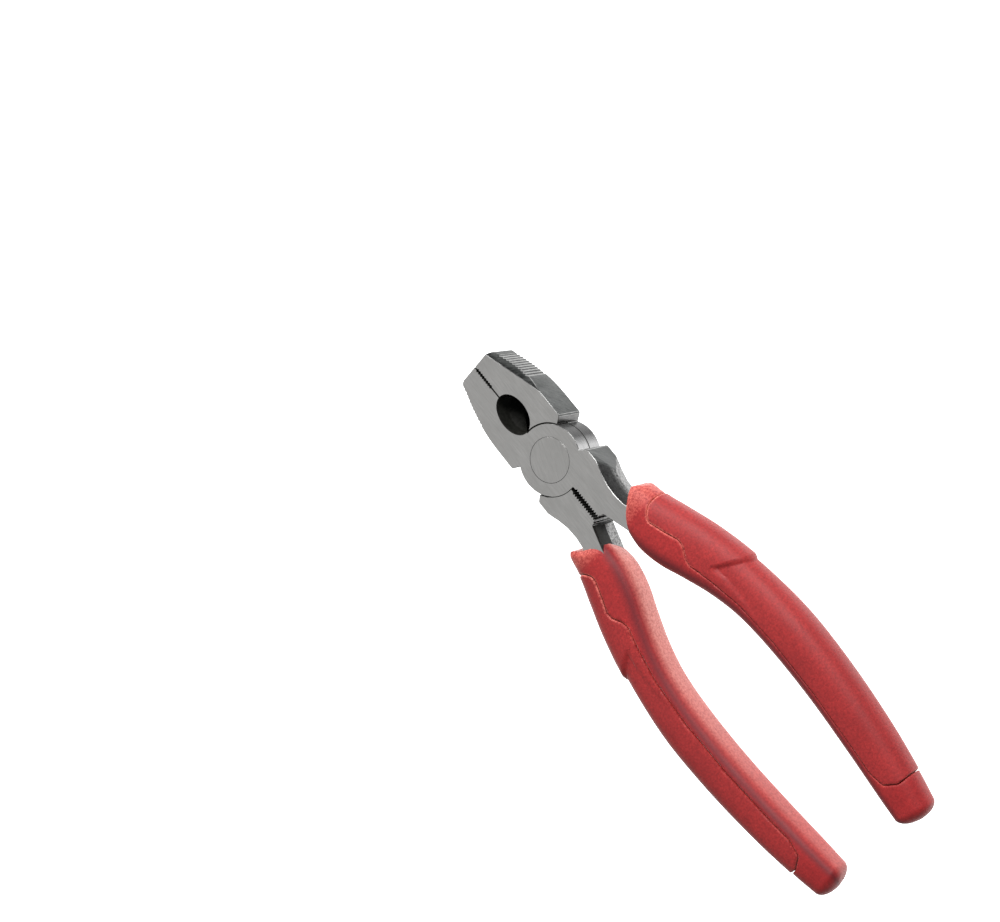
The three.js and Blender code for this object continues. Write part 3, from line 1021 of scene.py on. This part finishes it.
# the turned disc gets painted shade on its upper part, between the two heights given last
bright_turned = steel(
    "bright_turned", (0.21, 0.21, 0.21), (0.39, 0.39, 0.39), (0.22, 0.36), (300, 300, 2500), (0, 0, 0),
    0.25, disc_shade_heights=(-5.0, -0.5))
# this dark finish covers the throat's walls and the seams, and in the gap it is also painted shade
dark_hollow = steel(
    "dark_hollow", (0.006, 0.006, 0.005), (0.024, 0.024, 0.021), (0.4, 0.6), (700, 700, 700), (0, 0, 0),
    0.5, metallic=0.0)
rubbed_edge = steel(
    "rubbed_edge", (0.07, 0.07, 0.069), (0.30, 0.30, 0.296), (0.25, 0.4), (900, 300, 900), (0, 0, 0),
    0.2)
ground_heel = steel(
    "ground_heel", (0.06, 0.06, 0.06), (0.18, 0.18, 0.177), (0.25, 0.4), (1500, 300, 300), (0, 0, 0), 0.4)
rivet_face = steel(
    "rivet_face", (0.33, 0.327, 0.318), (0.45, 0.445, 0.435), (0.30, 0.42), (2200, 160, 2200),
    (0, 0, 24), 0.25)

LEVER_FINISHES = [
    ground_face, ground_flank, forged_skin, bright_turned, dark_hollow, rubbed_edge, ground_heel]
for lever in (front_steel, rear_steel):
    for material in LEVER_FINISHES:
        lever.data.materials.append(material)
rivet.data.materials.append(rivet_face)
print("steel finishes:", len(LEVER_FINISHES) + 1)

# %% [markdown]
# The grips are a matte red plastic with a spark-eroded skin, and stains keep it from looking new.
# Painted light is added as well: a pale painted highlight on the lips and round the mouth, and on the
# sleeve's inner side a dark line of painted shade along its edge and a pale painted sheen beyond it.
# A little sheen lifts the skin where it turns away from the eye, as fine dimples do.


# %% Moulded finishes
SHADE_LINE_GROWS, SHADE_LINE_ENDS, PAINTED_SHEEN_GROWS = (0.26, 0.42), (0.44, 0.62), (0.54, 0.74)  # values of `inner`
SHADE_LINE_COVER, PAINTED_SHEEN_COVER = 0.75, 0.62
SHADE_LINE_COLOUR = (0.12, 0.006, 0.012, 1)
PAINTED_SHEEN_COLOUR = (0.85, 0.42, 0.36, 1)
PAINTED_SHEEN_LOW, PAINTED_SHEEN_HIGH = -150, -75  # heights between which the painted sheen grows to its full
SKIN_SCALE = (1900, 1900, 1900)
HAND_STAIN_SCALE = (70, 45, 70)
HAND_STAIN_COVER = 0.45


def paint_inner_shade_and_sheen(tree, colour, speckle, height):
    """The side that faces the other handle: a line of painted shade along its edge and a paler painted
    sheen inside.
    """
    inner = add(tree, "ShaderNodeAttribute", {"attribute_name": "inner"}).outputs["Fac"]
    grows = ramp(tree, inner, *SHADE_LINE_GROWS, 0, SHADE_LINE_COVER)
    ends = ramp(tree, inner, *SHADE_LINE_ENDS, 1, 0)
    colour = blended(tree, product(tree, grows, ends), colour, SHADE_LINE_COLOUR)
    painted_sheen = ramp(tree, inner, *PAINTED_SHEEN_GROWS, 0, PAINTED_SHEEN_COVER)
    near_head = ramp(tree, height, PAINTED_SHEEN_LOW * MM, PAINTED_SHEEN_HIGH * MM, 0.3, 1)
    uneven = product(tree, product(tree, painted_sheen, near_head), ramp(tree, speckle, 0.2, 0.8, 0.5, 1))
    return blended(tree, uneven, colour, PAINTED_SHEEN_COLOUR)


def moulded(name, deep, base, mark_tone, bump, painted_inside=False):
    """Matte moulded plastic. deep is the colour in the pits, and the third colour is the painted highlight
    on the lips.
    """
    material, tree, shader = new_material(name)
    height, speckle = use_group(tree, SPARK_SKIN, mapped(tree, SKIN_SCALE))
    stain = use_group(tree, SOFT_STAINS, mapped(tree, HAND_STAIN_SCALE))[0]
    up_tool = place_along(tree, "Y")
    tone = blended(tree, speckle, (*deep, 1), (*base, 1))
    stained = blended(tree, ramp(tree, stain, 0, 1, 0, HAND_STAIN_COVER), tone, (*deep, 1))
    lip = add(tree, "ShaderNodeAttribute", {"attribute_name": "lip"}).outputs["Fac"]
    lip_light = use_group(tree, LIP_HIGHLIGHT, lip, speckle, up_tool)[0]
    colour = blended(tree, lip_light, stained, (*mark_tone, 1))
    if painted_inside:
        colour = paint_inner_shade_and_sheen(tree, colour, speckle, up_tool)
    tree.links.new(colour, shader.inputs["Base Color"])
    tree.links.new(ramp(tree, stain, 0, 1, 0.62, 0.5), shader.inputs["Roughness"])
    shader.inputs["Specular IOR Level"].default_value = 0.4
    shader.inputs["Sheen Weight"].default_value = 0.25
    shader.inputs["Sheen Roughness"].default_value = 0.35
    shader.inputs["Sheen Tint"].default_value = (1.0, 0.82, 0.76, 1)
    relief = add(tree, "ShaderNodeBump", Strength=bump, Distance=0.08 * MM, Height=height)
    tree.links.new(relief.outputs[0], shader.inputs["Normal"])
    return material


# the third colour is the pale painted highlight on the lips; the sleeve also gets painted shade and sheen
# on its inner side
sleeve_red = moulded(
    "sleeve_red", (0.24, 0.010, 0.012), (0.50, 0.026, 0.026), (0.72, 0.17, 0.13), 0.7, painted_inside=True)
panel_red = moulded(
    "panel_red", (0.22, 0.011, 0.013), (0.47, 0.028, 0.027), (0.74, 0.19, 0.15), 0.8)
for (side, part), piece in grips.items():
    piece.data.materials.append(sleeve_red if part == "sleeve" else panel_red)

print("moulded finishes on", len(grips), "pieces")

# %% [markdown]
# The floor glows in a round pool under the pliers and fades to plain pale paint. Emission does it in
# one material, so no lamp has to stand in the way of the camera.

# %% Floor finish
POOL_CENTRE = (-0.14, 0.1)  # middle of the pool of light, under what the camera sees
POOL_FLAT, POOL_END = 0.5, 1.0
POOL_LIGHT = 1.25
floor_paint, floor_tree, floor_shader = new_material("pale_floor")
floor_shader.inputs["Base Color"].default_value = (0.86, 0.86, 0.86, 1)
floor_shader.inputs["Roughness"].default_value = 0.8
floor_shader.inputs["Emission Strength"].default_value = 1.0
floor_place = add(floor_tree, "ShaderNodeTexCoord")
from_middle = add(
    floor_tree, "ShaderNodeVectorMath", {"operation": "DISTANCE"}, _0=floor_place.outputs["Object"],
    _1=(*POOL_CENTRE, floor_height))
pool = ramp(floor_tree, from_middle.outputs["Value"], POOL_FLAT, POOL_END, POOL_LIGHT, 0)
pool_colour = add(floor_tree, "ShaderNodeCombineXYZ", X=pool, Y=pool, Z=pool)
floor_tree.links.new(pool_colour.outputs[0], floor_shader.inputs["Emission Color"])
floor.data.materials.append(floor_paint)
print("pool of light", 2 * POOL_FLAT, "m across")
